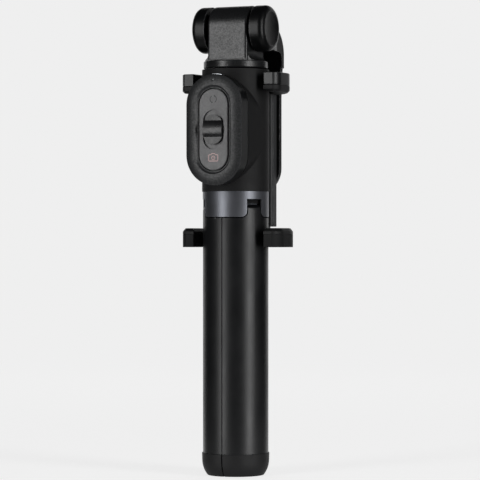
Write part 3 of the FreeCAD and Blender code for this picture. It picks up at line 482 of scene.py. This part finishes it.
def eased(node, radius_mm, material):
    """A copy of a part with rounded edges, riding where the part rides and standing for it."""
    part = frame["nodes"][node]
    piece = placed(node + "_eased", welded(part.data))
    bevel = piece.modifiers.new("broken edges", "BEVEL")
    bevel.width = radius_mm * MM
    bevel.segments = EDGE_STEPS
    bevel.limit_method = "ANGLE"
    bevel.angle_limit = SHARP_TURN
    bevel.use_clamp_overlap = True
    bevel.miter_outer = "MITER_ARC"
    view = bpy.context.evaluated_depsgraph_get()
    piece.data = bpy.data.meshes.new_from_object(piece.evaluated_get(view))
    piece.modifiers.clear()
    piece.data.shade_smooth()
    piece.data.set_sharp_from_angle(angle=SMOOTH_TURN)
    even = piece.modifiers.new("even shading", "WEIGHTED_NORMAL")
    even.keep_sharp = True
    piece.data.materials.clear()
    piece.data.materials.append(material)
    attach(piece, part["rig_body"])
    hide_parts(node)
    return piece


EASED = {
    "leg_right_shell": (0.16, powder_coated), "leg_left_shell": (0.16, powder_coated),
    "leg_rear_shell": (0.16, powder_coated),
    "leg_right_foot": (0.18, foot_rubber), "leg_left_foot": (0.18, foot_rubber),
    "leg_rear_foot": (0.18, foot_rubber),
    "leg_right_liner": (0.1, liner), "leg_left_liner": (0.1, liner), "leg_rear_liner": (0.1, liner),
    "collar_ring": (0.14, anodised_grey), "leg_hub": (0.1, hub_nylon),
    "body_sleeve": (0.3, housing), "dock_plate": (0.12, satin), "top_cap": (0.2, housing),
    "remote_base": (0.2, satin), "remote_bezel": (0.14, rim_abs), "key_panel": (0.12, panel_paint),
    "zoom_knob": (0.15, thumb_abs), "status_light": (0.08, light_pipe),
    "charge_port": (0.08, zinc), "remote_screws": (0.08, zinc), "hub_screws": (0.08, zinc),
    "leg_pins": (0.1, zinc),
    "swivel_base": (0.3, pebbled), "arm_yoke": (0.4, arm_nylon), "arm_cover": (0.12, satin),
    "hinge_caps": (0.1, cap_nylon), "hinge_washers": (0.1, guide), "hinge_pin": (0.1, zinc),
    "pivot_rivet": (0.1, zinc), "pivot_washer": (0.1, guide),
    "channel_back": (0.18, channel_finish), "channel_cover": (0.18, channel_finish),
    "upper_jaw": (0.4, satin), "lower_jaw": (0.9, overmould),
    "upper_jaw_pads": (0.25, pad_rubber), "lower_jaw_pads": (0.25, pad_rubber),
    "slide_rail": (0.12, zinc), "outer_bush": (0.12, guide),
    "pole_1_bush": (0.12, guide), "pole_2_bush": (0.12, guide), "pole_3_bush": (0.12, guide),
}
for node, (radius, material) in EASED.items():
    piece = eased(node, radius, material)
    print(f"{piece.name:24s} {len(piece.data.polygons):6d} faces")

# %% [markdown]
# ## Printed marks
#
# Two marks are pad-printed on the key: an open ring with two arrow heads at its upper end, to turn
# the picture, and the outline of a camera at its lower end, to take one. Ink is a few hundredths of
# a millimetre thick with a crisp edge. An image texture would blur up close, so each line is a real
# ribbon, laid along a few points and given the ink's thickness. Lengths here are in millimetres.

# %% Print the key
INK_HEIGHT = 0.03
INK_ROOT = 0.02
INK_WELD = 1e-7
LINE_WIDTH = 0.37
THIN_LINE = LINE_WIDTH * 0.8
TURN_ABOVE = 12.1
CAMERA_BELOW = 11.3
ARC_STEPS = 18
RING_R = 1.4
RING_ARC = math.radians(128)
RING_STARTS = (math.radians(115), math.radians(295))
HEAD_SWEEP = 0.32
HEAD_HALF = 0.42

key_low, key_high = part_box("key_panel")
face_y = key_low.y / MM
key_middle = (key_low.z + key_high.z) / 2 / MM
turn_z = key_middle + TURN_ABOVE
camera_z = key_middle - CAMERA_BELOW


def raised(form, flat):
    """Turns flat outlines, given as (x, z) points, into ink of even thickness on the key's face."""
    for outline in flat:
        front = [form.verts.new((x * MM, (face_y - INK_HEIGHT) * MM, z * MM)) for x, z in outline]
        back = [form.verts.new((x * MM, (face_y + INK_ROOT) * MM, z * MM)) for x, z in outline]
        form.faces.new(front)
        form.faces.new(reversed(back))
        for i in range(len(outline)):
            j = (i + 1) % len(outline)
            form.faces.new([front[j], front[i], back[i], back[j]])
    bmesh.ops.recalc_face_normals(form, faces=form.faces)


def ribbon(path, width, closed=False):
    """Quads of even width along a path of (x, z) points."""
    count = len(path)
    sides = []
    for i, (x, z) in enumerate(path):
        before = path[i - 1] if closed or i > 0 else path[i]
        after = path[(i + 1) % count] if closed or i < count - 1 else path[i]
        run = Vector((after[0] - before[0], after[1] - before[1])).normalized()
        step = Vector((-run.y, run.x)) * width / 2
        sides.append(((x + step.x, z + step.y), (x - step.x, z - step.y)))
    last = count if closed else count - 1
    return [[sides[i][0], sides[i][1], sides[(i + 1) % count][1], sides[(i + 1) % count][0]]
            for i in range(last)]


def arc(radius, start, sweep, x=0.0, z=0.0, steps=ARC_STEPS):
    """Points along an arc about (x, z), angles in radians from +x towards +z."""
    angles = [start + sweep * i / steps for i in range(steps + 1)]
    return [(x + radius * math.cos(angle), z + radius * math.sin(angle)) for angle in angles]


def printed(name, outlines, material):
    """One printed mark, riding on the key."""
    form = bmesh.new()
    raised(form, outlines)
    bmesh.ops.remove_doubles(form, verts=form.verts, dist=INK_WELD)
    mark = placed(name, mesh_from(form, name, material))
    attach(mark, "key")
    return mark


def ink(name, colour):
    """Printing ink, laid a little unevenly."""
    return layered(name, colour, roughness=0.45, IOR=1.48,
                   sheen=dict(spread=0.05, patch_mm=0.8, tone=0.12))


def turn_mark():
    """Two arcs of a ring, each with a small arrow head at its leading end."""
    outlines = []
    for start in RING_STARTS:
        outlines += ribbon(arc(RING_R, start, RING_ARC, z=turn_z), THIN_LINE)
        end = start + RING_ARC
        head = ((RING_R + HEAD_HALF, end), (RING_R - HEAD_HALF, end), (RING_R, end + HEAD_SWEEP))
        outlines.append([(r * math.cos(a), turn_z + r * math.sin(a)) for r, a in head])
    return outlines


def camera_mark():
    """The outline of a camera with a raised finder, a lens ring and its middle."""
    wide, high, corner, corner_steps = 2.0, 1.25, 0.4, 5
    finder_foot, finder_head, finder_rise = 0.95, 0.6, 0.5
    lens_r, middle_r, middle_steps = 0.72, 0.2, 12
    quarter, whole = math.pi / 2, 2 * math.pi
    side = wide - corner
    low, top = camera_z - high, camera_z + high
    body = arc(corner, -quarter, quarter, side, low + corner, corner_steps)
    body += arc(corner, 0.0, quarter, side, top - corner, corner_steps)
    body += [(finder_foot, top), (finder_head, top + finder_rise),
             (-finder_head, top + finder_rise), (-finder_foot, top)]
    body += arc(corner, quarter, quarter, -side, top - corner, corner_steps)
    body += arc(corner, 2 * quarter, quarter, -side, low + corner, corner_steps)
    lens = arc(lens_r, 0.0, whole, z=camera_z)[:-1]
    middle = arc(middle_r, 0.0, whole, z=camera_z, steps=middle_steps)[:-1]
    return ribbon(body, LINE_WIDTH, closed=True) + ribbon(lens, THIN_LINE, closed=True) + [middle]


turn_ink = printed("turn_mark", turn_mark(), ink("dark_grey_ink", "#1A1A1B"))
camera_ink = printed("camera_mark", camera_mark(), ink("pale_rose_ink", "#DCBDBB"))
for mark in (turn_ink, camera_ink):
    print(mark.name, len(mark.data.polygons), "faces")

# %% [markdown]
# ## Parts that stay as drawn
#
# Tubes, plugs, springs and the electronics have no edge that shows, so the parts themselves stay
# and only take a better finish.

# %% Finish the remaining parts
AS_DRAWN = {
    black_metal: ["outer_tube"],
    stainless: ["pole_1_tube", "pole_2_tube", "pole_3_tube", "pole_4_tube"],
    guide: ["tube_plug", "neck_plug", "knuckle_bush"] + [f"pole_{n}_glide" for n in (1, 2, 3, 4)],
    zinc: ["neck_screw", "key_switches"],
    blued: ["click_springs", "clamp_spring"],
    board: ["remote_board"],
    pouch: ["remote_battery"],
}
for material, nodes in AS_DRAWN.items():
    for node in nodes:
        frame["nodes"][node].material_slots[0].material = material
    print(material.name, "on", ", ".join(nodes))

# %% [markdown]
# ## Light and floor
#
# A dark, satin object is lit by what it mirrors. Two tall soft boxes stand to the left and right
# of the camera, and each draws one soft band down every round. A bright wall behind gives the
# thin light rim at the outline. The floor and the backdrop are one even pale tone, and the floor
# fades into the backdrop, so no horizon shows from any side. They neither light the object nor
# show in its reflections, so a faint lamp at the foot shines up in their place.

# %% Stage
CAMERA_AZIMUTH = 24.5
ROOM_LIGHT = (0.02, 0.02, 0.021, 1)
PALE = (0.863, 0.863, 0.863, 1)
PAPER_GREY = (0.5, 0.5, 0.5, 1)
FLOOR_GLOW = 0.87
FADE_STARTS = 0.12
FADE_ENDS = 0.9
STAGE_RADIUS = 6.0


def towards(azimuth, elevation=0.0):
    """The direction from the object to something at this azimuth and elevation, in degrees."""
    a, e = math.radians(azimuth), math.radians(elevation)
    return Vector((math.sin(a) * math.cos(e), -math.cos(a) * math.cos(e), math.sin(e)))


def soft_box(name, azimuth, elevation, distance, width, height, radiance):
    """A rectangular lamp that faces the middle of the object; its power follows from its size."""
    lamp = bpy.data.lights.new(name, "AREA")
    lamp.shape = "RECTANGLE"
    lamp.size = width
    lamp.size_y = height
    lamp.energy = radiance * math.pi * width * height
    box = placed(name, lamp)
    middle = (cad_box[0] + cad_box[1]) / 2
    direction = towards(azimuth, elevation)
    box.location = middle + direction * distance
    box.rotation_mode = "QUATERNION"
    box.rotation_quaternion = direction.to_track_quat("Z", "Y")
    box.visible_camera = False


soft_box("left soft box", azimuth=CAMERA_AZIMUTH - 47, elevation=4, distance=1.1,
         width=0.34, height=1.1, radiance=4.2)
soft_box("right soft box", azimuth=CAMERA_AZIMUTH + 50, elevation=4, distance=1.1,
         width=0.34, height=1.1, radiance=5.2)
soft_box("wall light", azimuth=CAMERA_AZIMUTH + 180, elevation=6, distance=1.2,
         width=2.1, height=1.2, radiance=0.9)
soft_box("floor bounce", azimuth=0, elevation=-90, distance=0.097,
         width=0.3, height=0.3, radiance=0.3)

world = bpy.data.worlds.new("studio")
world.use_nodes = True
world.node_tree.nodes["Background"].inputs["Color"].default_value = ROOM_LIGHT
bpy.context.scene.world = world
bpy.context.scene.view_settings.view_transform = "Standard"


def paper(name, glow):
    """Pale paper. Below a glow of 1 it is matt near the object and fades to the even tone."""
    material = bpy.data.materials.new(name)
    material.use_nodes = True
    tree = material.node_tree
    tree.nodes.clear()
    even = add(tree, "Emission", {"Color": PALE, "Strength": 1.0})
    out = add(tree, "OutputMaterial", {"Surface": even.outputs[0]})
    if glow < 1:
        matt = add(tree, "BsdfDiffuse", {"Color": PAPER_GREY})
        lift = add(tree, "Emission", {"Color": PALE, "Strength": glow})
        sheet = add(tree, "AddShader", {0: matt.outputs[0], 1: lift.outputs[0]})
        place = add(tree, "TexCoord", {})
        reach = add(tree, "VectorMath", {0: place.outputs["Object"]}, operation="LENGTH")
        fade = add(tree, "MapRange", {"Value": reach.outputs["Value"], "From Min": FADE_STARTS,
                                      "From Max": FADE_ENDS}, interpolation_type="SMOOTHSTEP")
        mixed = add(tree, "MixShader",
                    {0: fade.outputs[0], 1: sheet.outputs[0], 2: even.outputs[0]})
        tree.links.new(mixed.outputs[0], out.inputs["Surface"])
    return material


def staged(name, form, material):
    """A piece of the stage, which the object doesn't mirror."""
    sheet = placed(name, mesh_from(form, name, material))
    sheet.visible_glossy = False
    sheet.visible_diffuse = False
    sheet.visible_shadow = False


floor_form = bmesh.new()
bmesh.ops.create_circle(floor_form, cap_ends=True, segments=64, radius=STAGE_RADIUS)
staged("floor", floor_form, paper("seamless_paper_floor", FLOOR_GLOW))
dome_form = bmesh.new()
bmesh.ops.create_uvsphere(dome_form, u_segments=48, v_segments=24, radius=STAGE_RADIUS)
staged("backdrop", dome_form, paper("seamless_paper_wall", 1.0))

# %% [markdown]
# ## Camera
#
# A long lens a metre away, level with the middle of the object and turned a quarter of the way
# from its front to its side, shows the remote's face and the hinge's side at once. Level means
# that uprights stay upright. The aim is a little beside the handle's axis, as the clamp behind it
# weighs on that side.

# %% Camera
DISTANCE = 1.0
AIM_HEIGHT = 95.2 * MM
SIDE_STEP = 1.75 * MM
SENSOR = 36.0
VIEW_WIDTH = 194.96 * MM

lens = bpy.data.cameras.new("long lens")
lens.sensor_width = SENSOR
lens.lens = SENSOR * DISTANCE / VIEW_WIDTH
camera = placed("camera", lens)
turn = math.radians(CAMERA_AZIMUTH)
across = Vector((math.cos(turn), math.sin(turn), 0))
aim = Vector((0, 0, AIM_HEIGHT)) + across * SIDE_STEP
camera.location = aim + towards(CAMERA_AZIMUTH) * DISTANCE
camera.rotation_mode = "QUATERNION"
camera.rotation_quaternion = towards(CAMERA_AZIMUTH).to_track_quat("Z", "Y")
bpy.context.scene.camera = camera
print("lens", round(lens.lens, 1), "mm")
